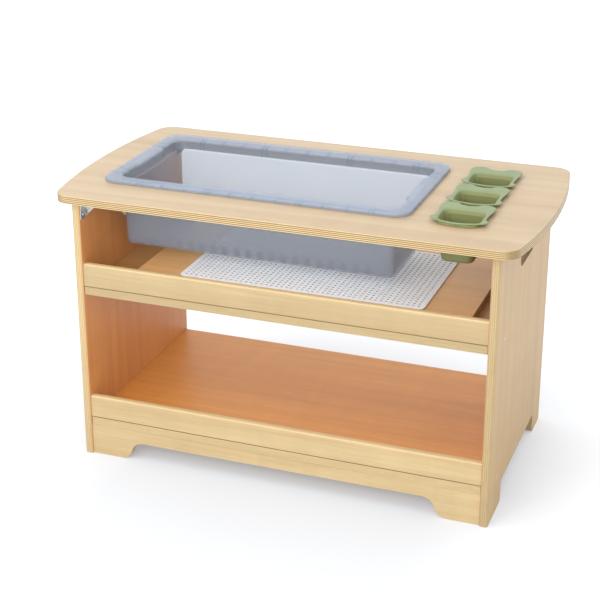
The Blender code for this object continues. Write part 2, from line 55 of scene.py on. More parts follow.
CAMERA_PLACE = (1.0070, -2.8299, 1.6145)
CAMERA_TILT = math.pi / 2 - 0.3708
CAMERA_TURN = 0.3542
CAMERA_LENS = 86.83
CAMERA_SENSOR = 36.0
CAMERA_SHIFT = (-0.0028, -0.0732)

# Each softbox: its place, what it points at, its width and height, and its power in watts
SOFTBOXES = {
    "key_softbox": ((-1.6, -2.2, 3.2), (0.0, 0.0, 0.3), (2.6, 2.6), 45.0),
    "bay_softbox": ((0.1, -2.2, 1.45), (0.0, 0.0, 0.45), (2.0, 0.7), 30.0),
}
WORLD_COLOUR = (0.97, 0.985, 1.0, 1.0)
WORLD_STRENGTH = 1.35

# The paper under the table glows a little, and has a painted shadow around one point in front of the
# table
FLOOR_SIZE = 30.0
FLOOR_DROP = 0.0002
FLOOR_GLOW = 0.30
FLOOR_GLOW_COLOUR = (0.96, 0.975, 1.0)
FLOOR_SHADE_CENTRE = (0.0, -0.38, 0.0)
FLOOR_SHADE_REACH = (0.35, 1.4)
FLOOR_MOTTLE = 0.1
FLOOR_SHADED = (0.405, 0.42, 0.44)
FLOOR_OPEN = (0.70, 0.71, 0.73)


def make_camera():
    data = bpy.data.cameras.new("camera")
    data.lens = CAMERA_LENS
    data.sensor_width = CAMERA_SENSOR
    data.shift_x, data.shift_y = CAMERA_SHIFT
    camera = bpy.data.objects.new("camera", data)
    camera.location = CAMERA_PLACE
    camera.rotation_euler = (CAMERA_TILT, 0.0, CAMERA_TURN)
    bpy.context.scene.collection.objects.link(camera)
    bpy.context.scene.camera = camera


def make_softbox(name, place, aim, size, power):
    data = bpy.data.lights.new(name, "AREA")
    data.shape = "RECTANGLE"
    data.size, data.size_y = size
    data.energy = power
    light = bpy.data.objects.new(name, data)
    light.location = place
    light.rotation_euler = (Vector(aim) - Vector(place)).to_track_quat("-Z", "Y").to_euler()
    bpy.context.scene.collection.objects.link(light)


def make_world():
    world = bpy.data.worlds.new("studio")
    world.use_nodes = True
    background = world.node_tree.nodes["Background"]
    background.inputs["Color"].default_value = WORLD_COLOUR
    background.inputs["Strength"].default_value = WORLD_STRENGTH
    bpy.context.scene.world = world


def make_floor():
    mesh = bpy.data.meshes.new("studio_floor")
    half = FLOOR_SIZE / 2
    corners = [(-half, -half), (half, -half), (half, half), (-half, half)]
    mesh.from_pydata([(x, y, -FLOOR_DROP) for x, y in corners], [], [(0, 1, 2, 3)])
    floor = bpy.data.objects.new("studio_floor", mesh)
    material = Shader("floor_paper")
    place = material.place()
    offset = material.vector_math("SUBTRACT", place, FLOOR_SHADE_CENTRE)
    reach = material.node("ShaderNodeVectorMath", {0: offset}, operation="LENGTH").outputs["Value"]
    # A random mottle, plus a painted shadow that is darker near one point in front of the table
    mottle_and_shadow = material.math("MULTIPLY", material.noise(place, 1.5), FLOOR_MOTTLE)
    mottle_and_shadow = material.math("ADD", mottle_and_shadow, material.stretch(reach, *FLOOR_SHADE_REACH))
    colour = material.blend(mottle_and_shadow, FLOOR_SHADED, FLOOR_OPEN)
    glow = {"Emission_Color": FLOOR_GLOW_COLOUR, "Emission_Strength": FLOOR_GLOW}
    material.surface(colour, 0.85, **glow)
    mesh.materials.append(material.made)
    bpy.context.scene.collection.objects.link(floor)


# ---------------------------------------------------------------- material building blocks


class Shader:
    """Short names for the nodes of one material."""

    def __init__(self, name):
        self.made = bpy.data.materials.new(name)
        self.made.use_nodes = True
        self.tree = self.made.node_tree
        self.tree.nodes.clear()

    def node(self, kind, inputs=None, **settings):
        made = self.tree.nodes.new(kind)
        for key, value in settings.items():
            setattr(made, key, value)
        for key, value in (inputs or {}).items():
            socket = made.inputs[key]
            if isinstance(value, bpy.types.NodeSocket):
                self.tree.links.new(value, socket)
            elif isinstance(value, tuple) and len(value) == 3 and socket.type == "RGBA":
                socket.default_value = (*value, 1.0)
            else:
                socket.default_value = value
        return made

    def math(self, operation, first, second=0.0):
        inputs = {0: first, 1: second}
        return self.node("ShaderNodeMath", inputs, operation=operation).outputs[0]

    def vector_math(self, operation, first, second):
        inputs = {0: first, 1: second}
        return self.node("ShaderNodeVectorMath", inputs, operation=operation).outputs[0]

    def place(self):
        """The point in the model's frame at rest."""
        return self.node("ShaderNodeTexCoord").outputs["Object"]

    def facing(self):
        """The way the surface faces, as three numbers."""
        return self.axes(self.node("ShaderNodeNewGeometry").outputs["Normal"])

    def axes(self, vector):
        split = self.node("ShaderNodeSeparateXYZ", {0: vector})
        return [split.outputs[i] for i in range(3)]

    def vector(self, x, y, z):
        return self.node("ShaderNodeCombineXYZ", {0: x, 1: y, 2: z}).outputs[0]

    def noise(self, vector, scale, detail=2.0, rough=0.5, distortion=0.0):
        inputs = {
            "Vector": vector,
            "Scale": scale,
            "Detail": detail,
            "Roughness": rough,
            "Distortion": distortion,
        }
        return self.node("ShaderNodeTexNoise", inputs).outputs["Fac"]

    def stretch(self, value, low, high, to_low=0.0, to_high=1.0):
        inputs = {"Value": value, 1: low, 2: high, 3: to_low, 4: to_high}
        return self.node("ShaderNodeMapRange", inputs, clamp=True).outputs[0]

    def blend(self, amount, first, second, how="MIX"):
        inputs = {0: amount, 6: first, 7: second}
        return self.node("ShaderNodeMix", inputs, data_type="RGBA", blend_type=how).outputs[2]

    def tint(self, colour, by):
        """A colour multiplied by another."""
        return self.blend(1.0, colour, by, "MULTIPLY")

    def bump(self, height, strength, distance):
        inputs = {"Height": height, "Strength": strength, "Distance": distance}
        return self.node("ShaderNodeBump", inputs).outputs[0]

    def surface(self, colour, roughness, normal=None, **extra):
        inputs = {"Base Color": colour, "Roughness": roughness}
        if normal is not None:
            inputs["Normal"] = normal
        for key, value in extra.items():
            inputs[key.replace("_", " ")] = value
        shader = self.node("ShaderNodeBsdfPrincipled", inputs)
        output = self.node("ShaderNodeOutputMaterial")
        self.tree.links.new(shader.outputs[0], output.inputs[0])


# ---------------------------------------------------------------- plywood

# In plies: how many, half a glue line's width, how far the plies stray, and how near to the
# board's faces the count stops
PLIES = 9
GLUE_LINE = 0.08
PLY_WANDER = 0.10
PLY_SKIN = 0.02

# A board's edges show the sides and the ends of its plies, with glue between them
SIDE_GRAIN = (0.610, 0.460, 0.240)
END_GRAIN = (0.230, 0.155, 0.065)
GLUE = (0.13, 0.080, 0.035)
GLUE_STRENGTH = 0.75

# Cosines: past the first a surface is a board's face, and between the others end grain fades in
FACE_FROM = 0.82
END_FADE = (0.25, 0.8)

# Painted shade where a lip stands on its shelf: full up to the first height, gone by the second
JOINT_SHADE = (0.150, 0.090, 0.035)
SEAM_REACH = (0.0010, 0.0026)
SHADED_JOINT_LIPS = ("middle_shelf_lip", "bottom_shelf_lip")

# Marks in a metre along the grain, across it and through the board
BAND_SCALE = (1.1, 26.0, 26.0)
LINE_SCALE = (7.0, 210.0, 210.0)
PORE_SCALE = (55.0, 1500.0, 1500.0)
FIGURE_SCALE = (14.0, 5.0, 5.0)

# Every kind of mark colours the wood between a dark tint and a light one, a pore by one tint
BAND_TINTS = ((0.93, 0.90, 0.86), (1.06, 1.07, 1.08))
LINE_TINTS = ((0.93, 0.91, 0.88), (1.04, 1.04, 1.05))
FIGURE_TINTS = ((0.975, 0.97, 0.96), (1.02, 1.02, 1.02))
PORE_TINT = (0.78, 0.72, 0.64)

# How far each board's marks lie from the next board's, on its faces and inside it
FACE_SHIFT = 0.37
INSIDE_SHIFT = 0.61

# Veneer colours: the pale top, outer faces, the lips, the inner faces and the loose board
PALE = (0.445, 0.335, 0.212)
WARM = (0.420, 0.266, 0.102)
STRAW = (0.475, 0.355, 0.188)
HONEY = (0.395, 0.298, 0.158)
# The inner faces are a deeper orange: painted bounce light and shade inside the bays
PAINTED_BOUNCE_DEEP = (0.600, 0.262, 0.084)
PAINTED_BOUNCE_AMBER = (0.630, 0.272, 0.058)
TAN = (0.800, 0.460, 0.185)
PAINTED_BOUNCE_UMBER = (0.480, 0.250, 0.090)


def mark_wood(s, fibre, wood):
    """The wood coloured by its bands, lines, figure and pores, and the lines and the pores."""

    def marks(scale, detail, rough=0.55, distortion=0.0):
        return s.noise(s.vector_math("MULTIPLY", fibre, scale), 1.0, detail, rough, distortion)

    bands = marks(BAND_SCALE, 3.0, distortion=0.4)
    lines = marks(LINE_SCALE, 3.0, 0.6)
    pores = marks(PORE_SCALE, 1.0)
    figure = marks(FIGURE_SCALE, 2.0, distortion=0.8)
    wood = s.tint(wood, s.blend(s.stretch(bands, 0.3, 0.7), *BAND_TINTS))
    wood = s.tint(wood, s.blend(s.stretch(lines, 0.3, 0.72), *LINE_TINTS))
    wood = s.tint(wood, s.blend(s.stretch(figure, 0.35, 0.65), *FIGURE_TINTS))
    wood = s.blend(s.stretch(pores, 0.60, 0.72, 0.0, 0.35), wood, s.tint(wood, PORE_TINT))
    return wood, lines, pores


def birch_plywood(name, node, thickness, grain, low_face, high_face, stripes, pale, seed):
    """Plywood through and through, for a board that lies square to the model's axes.

    thickness and grain are axis numbers: the way through the plies, and the way the outer
    veneers' grain runs. low_face and high_face are the veneers at the board's two faces,
    stripes is how strongly the plies show at its edges, and pale how pale the edges are.
    """
    across = X + Y + Z - thickness - grain
    low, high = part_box(node)
    s = Shader(name)
    place = s.axes(s.place())
    normal = s.facing()

    # Plies counted from the low face; every second one is crossed
    wander = s.noise(s.vector(*place), 9.0, detail=3.0)
    depth = s.math("SUBTRACT", place[thickness], low[thickness])
    plies = s.math("MULTIPLY", depth, PLIES / (high[thickness] - low[thickness]))
    plies = s.math("ADD", plies, s.stretch(wander, 0.0, 1.0, -PLY_WANDER, PLY_WANDER))
    plies = s.stretch(plies, PLY_SKIN, PLIES - PLY_SKIN, PLY_SKIN, PLIES - PLY_SKIN)
    from_glue = s.math("PINGPONG", plies, 0.5)
    ply = s.math("FLOOR", plies)
    crossed = s.math("PINGPONG", ply, 1.0)

    # The same point measured along the fibres of its own ply
    face_depth = s.math("ADD", place[thickness], seed * FACE_SHIFT)
    along_face = s.vector(place[grain], place[across], face_depth)
    inside_depth = s.math("ADD", ply, seed * INSIDE_SHIFT)
    along_cross = s.vector(place[across], place[grain], inside_depth)
    fibres = {0: crossed, 4: along_face, 5: along_cross}
    fibre = s.node("ShaderNodeMix", fibres, data_type="VECTOR").outputs[1]

    # A veneer on each face, and at the edges the sides and the ends of the plies
    veneer = s.blend(s.math("GREATER_THAN", plies, PLIES / 2), low_face, high_face)
    face = s.math("GREATER_THAN", s.math("ABSOLUTE", normal[thickness]), FACE_FROM)
    edge = s.math("SUBTRACT", 1.0, face)
    side = s.blend(face, tuple(pale * part for part in SIDE_GRAIN), veneer)
    ends = {
        0: crossed,
        2: s.math("ABSOLUTE", normal[grain]),
        3: s.math("ABSOLUTE", normal[across]),
    }
    end = s.stretch(s.node("ShaderNodeMix", ends, data_type="FLOAT").outputs[0], *END_FADE)
    end = s.math("MULTIPLY", end, s.math("MULTIPLY", stripes, edge))
    wood = s.blend(end, side, END_GRAIN)
    glue = s.stretch(from_glue, GLUE_LINE, 2 * GLUE_LINE, GLUE_STRENGTH * stripes, 0.0)
    glue = s.math("MULTIPLY", glue, edge)
    wood = s.blend(glue, wood, GLUE)
    # Painted shade along the foot of a lip, where it meets its shelf
    if node in SHADED_JOINT_LIPS:
        above_joint = s.math("SUBTRACT", place[across], low[across])
        wood = s.blend(s.stretch(above_joint, *SEAM_REACH, 1.0, 0.0), wood, JOINT_SHADE)

    wood, lines, pores = mark_wood(s, fibre, wood)
    rough = s.stretch(lines, 0.2, 0.8, 0.36, 0.46)
    relief = s.math("ADD", s.math("MULTIPLY", lines, 0.6), s.math("MULTIPLY", pores, 0.4))
    relief = s.math("SUBTRACT", relief, s.math("MULTIPLY", glue, 0.6))
    s.surface(wood, rough, s.bump(relief, 0.22, 0.0003), Specular_IOR_Level=0.42)
    return s.made


# Boards with sanded edges, which leave a fine groove where two boards meet
EASED_EDGE = 0.0012
JOINED_BOARDS = (
    "middle_shelf",
    "bottom_shelf",
    "middle_shelf_lip",
    "bottom_shelf_lip",
    "front_kick_panel",
    "rear_kick_panel",
    "cover_board",
)


def finish_boards():
    """Each board's ply way, face grain, two face veneers, edge stripes and edge paleness."""
    boards = {
        # Inner faces take the colours of painted bounce light and shade
        "tabletop": (Z, X, WARM, PALE, 1.0, 0.96),
        "side_panel_left": (X, Z, WARM, PAINTED_BOUNCE_DEEP, 0.35, 0.86),
        "side_panel_right": (X, Z, PAINTED_BOUNCE_DEEP, WARM, 0.35, 0.70),
        "middle_shelf": (Z, X, WARM, PAINTED_BOUNCE_UMBER, 0.12, 0.62),
        "bottom_shelf": (Z, X, WARM, PAINTED_BOUNCE_AMBER, 0.06, 0.76),
        "middle_shelf_lip": (Y, X, HONEY, PAINTED_BOUNCE_AMBER, 0.15, 0.95),
        "bottom_shelf_lip": (Y, X, STRAW, PAINTED_BOUNCE_AMBER, 0.15, 0.95),
        "front_kick_panel": (Y, X, STRAW, PAINTED_BOUNCE_DEEP, 0.3, 0.85),
        "rear_kick_panel": (Y, X, PAINTED_BOUNCE_DEEP, STRAW, 0.3, 0.85),
        "cover_board": (Z, X, TAN, TAN, 0.5, 0.85),
    }
    for seed, (node, choices) in enumerate(boards.items()):
        set_material(nodes[node], birch_plywood("birch_" + node, node, *choices, seed))
        if node in JOINED_BOARDS:
            ease_edges(nodes[node], EASED_EDGE, 50)


# ---------------------------------------------------------------- piece and mesh building blocks

SHARP = math.radians(38)
MERGE_REACH = 0.000005

# A block's corners: radius, steps, and the most they take of half its width
BLOCK_CORNER = 0.0004
BLOCK_CORNER_STEPS = 2
BLOCK_CORNER_SHARE = 0.98


def set_material(obj, material):
    obj.data.materials.clear()
    obj.data.materials.append(material)


def ease_edges(obj, width, angle):
    """Rounds every edge that turns by more than an angle in degrees."""
    bevel = obj.modifiers.new("eased_edges", "BEVEL")
    bevel.width = width
    bevel.segments = 2
    bevel.limit_method = "ANGLE"
    bevel.angle_limit = math.radians(angle)


def new_piece(name, builder, material, body, replaced):
    """A mesh that rides on a CAD body, smooth but for its sharp edges."""
    bmesh.ops.remove_doubles(builder, verts=builder.verts, dist=MERGE_REACH)
    bmesh.ops.recalc_face_normals(builder, faces=builder.faces)
    for face in builder.faces:
        face.smooth = True
    for edge in builder.edges:
        if len(edge.link_faces) == 2:
            edge.smooth = edge.calc_face_angle(0.0) < SHARP
    mesh = bpy.data.meshes.new(name)
    builder.to_mesh(mesh)
    builder.free()
    mesh.materials.append(material)
    obj = bpy.data.objects.new(name, mesh)
    bpy.context.scene.collection.objects.link(obj)
    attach(obj, body)
    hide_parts(*replaced)


def smooth_step(value):
    value = min(max(value, 0.0), 1.0)
    return value * value * (3.0 - 2.0 * value)


def toward(start, end, share):
    """The point that lies this share of the way from one point to another."""
    return (start[0] + (end[0] - start[0]) * share, start[1] + (end[1] - start[1]) * share)


def arc(centre, radius, start, end, steps):
    """Points along an arc, angles in degrees, both ends included."""
    turns = [math.radians(start + (end - start) * i / steps) for i in range(steps + 1)]
    return [(centre[0] + radius * math.cos(t), centre[1] + radius * math.sin(t)) for t in turns]


def bridge(builder, first, second):
    """Quads between two closed rings with the same number of points."""
    count = len(first)
    for i in range(count):
        j = (i + 1) % count
        builder.faces.new((first[i], first[j], second[j], second[i]))


def add_loft(builder, rings):
    """A solid through a row of rings of points, with a cap at each end."""
    rows = [[builder.verts.new(point) for point in ring] for ring in rings]
    for first, second in zip(rows, rows[1:]):
        bridge(builder, first, second)
    builder.faces.new(rows[0])
    builder.faces.new(rows[-1])


def add_bowl(builder, rings, inside):
    """A shell from rings that run down its inside, as many as inside says, and up its outside."""
    rows = [[builder.verts.new(point) for point in ring] for ring in rings]
    for i, (first, second) in enumerate(zip(rows, rows[1:])):
        if i + 1 != inside:
            bridge(builder, first, second)
    bridge(builder, rows[-1], rows[0])
    builder.faces.new(rows[inside - 1])
    builder.faces.new(rows[inside])


def rounded_ring(half, radius, steps, long_steps=1, short_steps=1):
    """A rectangle with round corners, its straight sides cut into equal steps."""
    corners = []
    for turn, (sx, sy) in enumerate(((1, -1), (1, 1), (-1, 1), (-1, -1))):
        centre = (sx * (half[0] - radius), sy * (half[1] - radius))
        corners.append(arc(centre, radius, 90 * turn - 90, 90 * turn, steps))
    points = []
    for turn, corner in enumerate(corners):
        following = corners[(turn + 1) % 4]
        cuts = long_steps if turn % 2 else short_steps
        points += corner
        points += [toward(corner[-1], following[0], i / cuts) for i in range(1, cuts)]
    return points


def add_block(builder, low, high, taper=(0.0, 0.0), corner=BLOCK_CORNER):
    """A small block with round upright edges, drawn in by the taper at its top."""
    middle = [(low[a] + high[a]) / 2 for a in (X, Y)]
    rings = []
    for z, shrink in ((low[Z], 0.0), (high[Z], 1.0)):
        half = [(high[a] - low[a]) / 2 - shrink * taper[a] for a in (X, Y)]
        radius = min(corner, *half) * BLOCK_CORNER_SHARE
        outline = rounded_ring(half, radius, BLOCK_CORNER_STEPS)
        rings.append([(middle[0] + x, middle[1] + y, z) for x, y in outline])
    add_loft(builder, rings)


# ---------------------------------------------------------------- tub

TUB_WALL = 0.003
TUB_LEDGE_DEPTH = 0.026
TUB_COLOURS = ((0.245, 0.280, 0.340), (0.265, 0.300, 0.360))

# Painted highlight on the rim, lighter than the walls: the tint, and the drops between which it
# fades in
RIM_PAINTED_LIGHT = (1.22, 1.27, 1.34)
RIM_PAINTED_LIGHT_FADE = (0.0095, 0.0025)

# The handles, where the rim's inner edge comes in at both ends
HANDLE_HALF = 0.0655
HANDLE_BULGE = 0.0062
HANDLE_RAMP = 0.007
HANDLE_INSET = 0.0200
HANDLE_INSET_FADE = 0.0050
HANDLE_DROP = 0.0200
HANDLE_DROP_FADE = 0.020

# Steps of a ring: in a corner, along a long side, and along a short side with its handle. A
# point this near to the tub's end is on the short side
RING_STEPS = (10, 20, 84)
ON_END = 0.0001

# Fins under the rim, from inset to inset; the twins go on down the wall
RIB_PITCH = 0.0525
RIB_SHIFT = 0.0055
RIB_TWIN = 0.0047
RIB_COUNT = 6
TWIN_RIBS = (-5, -2, 2, 5)
END_RIBS = (-0.118, -0.0885, 0.0885, 0.118)
RIM_RIB_THICK = 0.0024
RIM_RIB_INSETS = (0.0024, 0.0294)
RIM_RIB_DEPTH = 0.0088
RIB_BITE = 0.0002
WALL_RIB_THICK = 0.0032
WALL_RIB_INSETS = (0.0266, 0.0300)
WALL_RIB_DROP = 0.006

# Short bars along the foot of the long walls
BAR_PITCH = 0.0272
BAR_COUNT = 20
BAR_START = -0.262
BAR_WIDTH = 0.0125
BAR_HEIGHT = 0.0170
BAR_RISE = 0.0065
BAR_INSET = 0.0372
BAR_DEPTHS = (-0.0006, 0.0011)
BAR_TAPER = (0.0012, 0.0006)

# The tub's skin from the foot of the skirt, over the rim and down inside to the ledge, and from
# under the ledge back up to the skirt: inset from the rim's outline, corner radius, and height
# measured from the rim's top
INNER_SKIN = (
    (0.0000, 0.0360, -0.0092),
    (0.0000, 0.0360, -0.0034),
    (0.0004, 0.0357, -0.0018),
    (0.0014, 0.0352, -0.0006),
    (0.0032, 0.0345, 0.0000),
    (0.0240, 0.0320, 0.0000),
    (0.0272, 0.0305, -0.0005),
    (0.0298, 0.0290, -0.0019),
    (0.0314, 0.0278, -0.0045),
    (0.0320, 0.0272, -0.0085),
    (0.0326, 0.0270, -0.0240),
    (0.0333, 0.0268, -0.0255),
    (0.0350, 0.0200, -0.0263),
    (0.0362, 0.0145, -0.0272),
    (0.0368, 0.0126, -0.0295),
)
OUTER_SKIN = (
    (0.0340, 0.0156, -0.0300),
    (0.0334, 0.0170, -0.0285),
    (0.0318, 0.0230, -0.0275),
    (0.0303, 0.0290, -0.0262),
    (0.0297, 0.0300, -0.0235),
    (0.0291, 0.0302, -0.0085),
    (0.0284, 0.0308, -0.0055),
    (0.0264, 0.0318, -0.0036),
    (0.0240, 0.0326, -0.0030),
    (0.0046, 0.0340, -0.0030),
    (0.0032, 0.0346, -0.0036),
    (0.0026, 0.0350, -0.0052),
    (0.0026, 0.0350, -0.0092),
)
# Below the ledge, down inside and back up outside: inset, corner radius, and height above the
# floor's underside
INNER_BASE = (
    (0.0392, 0.0122, 0.030),
    (0.0400, 0.0120, 0.017),
    (0.0408, 0.0116, 0.010),
    (0.0424, 0.0110, 0.0057),
    (0.0456, 0.0100, 0.0034),
    (0.0500, 0.0090, 0.0030),
    (0.0640, 0.0080, 0.0030),
    (0.0665, 0.0070, 0.0045),
)
OUTER_BASE = (
    (0.0655, 0.0075, 0.0015),
    (0.0630, 0.0085, 0.0000),
    (0.0485, 0.0100, 0.0000),
    (0.0432, 0.0115, 0.0006),
    (0.0400, 0.0132, 0.0030),
    (0.0380, 0.0144, 0.0072),
    (0.0372, 0.0150, 0.0140),
    (0.0363, 0.0152, 0.030),
)


def tub_plastic():
    s = Shader("clear_blue_plastic")
    place = s.place()
    cloud = s.noise(place, 6.0, detail=3.0)
    colour = s.blend(s.stretch(cloud, 0.3, 0.7), *TUB_COLOURS)
    # Painted highlight: the rim's top is made lighter than the walls
    fade = [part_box("tub")[1].z - drop for drop in RIM_PAINTED_LIGHT_FADE]
    on_rim = s.stretch(s.axes(place)[Z], *fade)
    colour = s.blend(on_rim, colour, s.tint(colour, RIM_PAINTED_LIGHT))
    mould = s.noise(place, 900.0)
    wave = s.noise(place, 18.0, detail=1.0)
    rough = s.stretch(s.noise(place, 40.0, detail=4.0), 0.3, 0.7, 0.20, 0.28)
    relief = s.math("ADD", s.math("MULTIPLY", mould, 0.10), wave)
    s.surface(colour, rough, s.bump(relief, 0.03, 0.0004), Alpha=0.45, IOR=1.49)
    return s.made


def handle_reach(y):
    """How far the rim's inner edge comes in at this distance from the tub's middle line."""
    return HANDLE_BULGE * smooth_step((HANDLE_HALF - abs(y)) / HANDLE_RAMP + 0.5)


def tub_ring(centre, half, inset, radius, z, handle=0.0):
    """One ring of the tub's skin; handle says how much of the handles' shape it takes."""
    end = half.x - inset
    ring = []
    for x, y in rounded_ring((end, half.y - inset), radius, *RING_STEPS):
        if handle > 0.0 and abs(x) > end - ON_END:
            x -= math.copysign(handle * handle_reach(y), x)
        ring.append((centre.x + x, centre.y + y, z))
    return ring


def make_tub():
    low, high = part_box("tub")
    centre = (low + high) / 2
    half = (high - low) / 2
    rim = high.z

    def upper(rows):
        rings = []
        for inset, radius, height in rows:
            past_top = smooth_step((inset - HANDLE_INSET) / HANDLE_INSET_FADE)
            fade = 1.0 - smooth_step((-height - HANDLE_DROP) / HANDLE_DROP_FADE)
            rings.append(tub_ring(centre, half, inset, radius, rim + height, past_top * fade))
        return rings

    def lower(rows):
        return [tub_ring(centre, half, inset, r, low.z + up) for inset, r, up in rows]

    builder = bmesh.new()
    skin = upper(INNER_SKIN) + lower(INNER_BASE) + lower(OUTER_BASE) + upper(OUTER_SKIN)
    inside = len(INNER_SKIN) + len(INNER_BASE)
    add_bowl(builder, skin, inside)
    add_tub_ribs(builder, centre, half, rim)
    add_tub_bars(builder, centre, half, low.z)
    new_piece("tub_shell", builder, tub_plastic(), "tub", ("tub",))


def add_tub_ribs(builder, centre, half, rim):
    """Fins under the rim, in twins at four places, where they run on down the wall to the ledge."""
    places = []
    for i in range(-RIB_COUNT, RIB_COUNT + 1):
        middle = centre.x + RIB_SHIFT + i * RIB_PITCH
        if i in TWIN_RIBS:
            places += [(middle - RIB_TWIN, True), (middle + RIB_TWIN, True)]
        elif abs(i) < RIB_COUNT:
            places.append((middle, False))
    thick = RIM_RIB_THICK / 2
    wall_thick = WALL_RIB_THICK / 2
    foot = rim - RIM_RIB_DEPTH
    top = rim - TUB_WALL + RIB_BITE
    wall_foot = rim - TUB_LEDGE_DEPTH
    wall_top = rim - WALL_RIB_DROP
    for side in (-1, 1):
        near, far = sorted(centre.y + side * (half.y - inset) for inset in RIM_RIB_INSETS)
        inner, outer = sorted(centre.y + side * (half.y - inset) for inset in WALL_RIB_INSETS)
        for x, twin in places:
            add_block(builder, (x - thick, near, foot), (x + thick, far, top))
            if twin:
                low = (x - wall_thick, inner, wall_foot)
                add_block(builder, low, (x + wall_thick, outer, wall_top))
        near, far = sorted(centre.x + side * (half.x - inset) for inset in RIM_RIB_INSETS)
        for offset in END_RIBS:
            y = centre.y + offset
            add_block(builder, (near, y - thick, foot), (far, y + thick, top))


def add_tub_bars(builder, centre, half, bottom):
    """Short flat bars along the foot of the two long walls."""
    foot = bottom + BAR_RISE
    for side in (-1, 1):
        wall = half.y - BAR_INSET
        near, far = sorted(centre.y + side * (wall + depth) for depth in BAR_DEPTHS)
        for i in range(BAR_COUNT):
            x = centre.x + BAR_START + i * BAR_PITCH
            low = (x - BAR_WIDTH / 2, near, foot)
            high = (x + BAR_WIDTH / 2, far, foot + BAR_HEIGHT)
            add_block(builder, low, high, BAR_TAPER)


# ---------------------------------------------------------------- cups

CUP_BOW_REACH = 0.045
CUP_RIM = 0.0038

# The right half of the flange's outline: bowed front, flared tip, waist, lobe and the dip between
# the lobes, each with its centre, radius, start and end in degrees, and steps
FLANGE_ARCS = (
    ((0.0, 0.052), 0.097, 270, 305, 28),
    ((0.0548, -0.0180), 0.0060, -45, 55, 8),
    ((0.2243, 0.0070), 0.1720, 184.5, 168, 26),
    ((0.0365, 0.0615), 0.0212, -20, 150, 20),
    ((0.0, 0.105), 0.0380, 296, 270, 8),
)

# How square a cup's corners are: 2 is an ellipse, and a larger number nearer to a rectangle
CUP_SQUARENESS = {"front": 4.0, "rear": 7.0}

# Half length, half depth to the front and half depth to the rear
CUP_OPENING = (0.0448, 0.0400, 0.0440)
CUP_MOUTH = (0.0406, 0.0376, 0.0376)
CUP_BODY = (0.0430, 0.0400, 0.0400)
CUP_COLLAR = (0.0450, 0.0418, 0.0418)

# Drops below the flange's top
CUP_MOUTH_DROP = 0.0098
CUP_BODY_DROP = 0.0090
CUP_COLLAR_DROP = 0.0089

# Painted shade, a browner green, below the flange: the tint, and the drops between which it fades
# out
CUP_COLOURS = ((0.180, 0.225, 0.105), (0.198, 0.243, 0.118))
CUP_SHADE = (0.86, 0.74, 0.55)
CUP_SHADE_FADE = (0.0050, 0.0030)

# From the flange's edge inwards: distance in from the outline, and drop below the flange's top
FLANGE_EDGE = (
    (0.0000, 0.0018),
    (0.0002, 0.0009),
    (0.0007, 0.0003),
    (0.0016, 0.0000),
    (0.0038, 0.0003),
)
# The dish between the rim and the opening: share of the way, and drop below the flange's top
FLANGE_DISH = ((0.25, 0.0005), (0.5, 0.0009), (0.75, 0.0014), (0.92, 0.0021), (1.0, 0.0032))
# The underside between the rim and the collar, and the edge below, measured like the two above
FLANGE_UNDER = ((0.86, 0.0046), (0.6, 0.0040), (0.3, 0.0033))
FLANGE_FOOT = ((0.0030, 0.0031), (0.0008, 0.0030), (0.0002, 0.0026))

# Half length, half depth and height above the cup's underside, down the inside and back up
CUP_INSIDE = (
    (0.0338, 0.0319, 0.0140),
    (0.0326, 0.0306, 0.0075),
    (0.0308, 0.0288, 0.0043),
    (0.0280, 0.0260, 0.0027),
    (0.0220, 0.0200, 0.0022),
)
CUP_OUTSIDE = (
    (0.0230, 0.0210, 0.0000),
    (0.0305, 0.0285, 0.0000),
    (0.0330, 0.0310, 0.0010),
    (0.0345, 0.0325, 0.0034),
    (0.0354, 0.0334, 0.0090),
)


def flange_outline():
    """Bowed front with a flared tip each side, a waist, and two round lobes at the rear."""
    right = [point for shape in FLANGE_ARCS for point in arc(*shape)]
    return right + [(-x, y) for x, y in reversed(right[1:-1])]


def box_ring(outline, halves):
    """Points of a round-cornered box shape, each in the direction of an outline's point."""
    half, front, rear = halves
    ring = []
    for x, y in outline:
        power = CUP_SQUARENESS["rear" if y > 0 else "front"]
        depth = rear if y > 0 else front
        scale = ((abs(x) / half) ** power + (abs(y) / depth) ** power) ** (-1.0 / power)
        ring.append((x * scale, y * scale))
    return ring


def moved_in(outline, target, distance):
    """An outline drawn in by a distance, each point towards its own point of the target."""
    return [toward(p, q, distance / math.dist(p, q)) for p, q in zip(outline, target)]


def between(first, second, share):
    return [toward(p, q, share) for p, q in zip(first, second)]


def sage_plastic():
    s = Shader("sage_plastic")
    place = s.place()
    cloud = s.noise(place, 22.0, detail=3.0)
    colour = s.blend(s.stretch(cloud, 0.3, 0.7), *CUP_COLOURS)
    # Painted shade: the cup's inside and its collar below the flange are darker and browner
    fade = [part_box("cup_front")[1].z - drop for drop in CUP_SHADE_FADE]
    on_flange = s.stretch(s.axes(place)[Z], *fade)
    colour = s.blend(on_flange, s.tint(colour, CUP_SHADE), colour)
    grain = s.noise(place, 1400.0)
    rough = s.stretch(s.noise(place, 120.0, detail=3.0), 0.3, 0.7, 0.40, 0.50)
    s.surface(colour, rough, s.bump(grain, 0.25, 0.0002), Specular_IOR_Level=0.45)
    return s.made


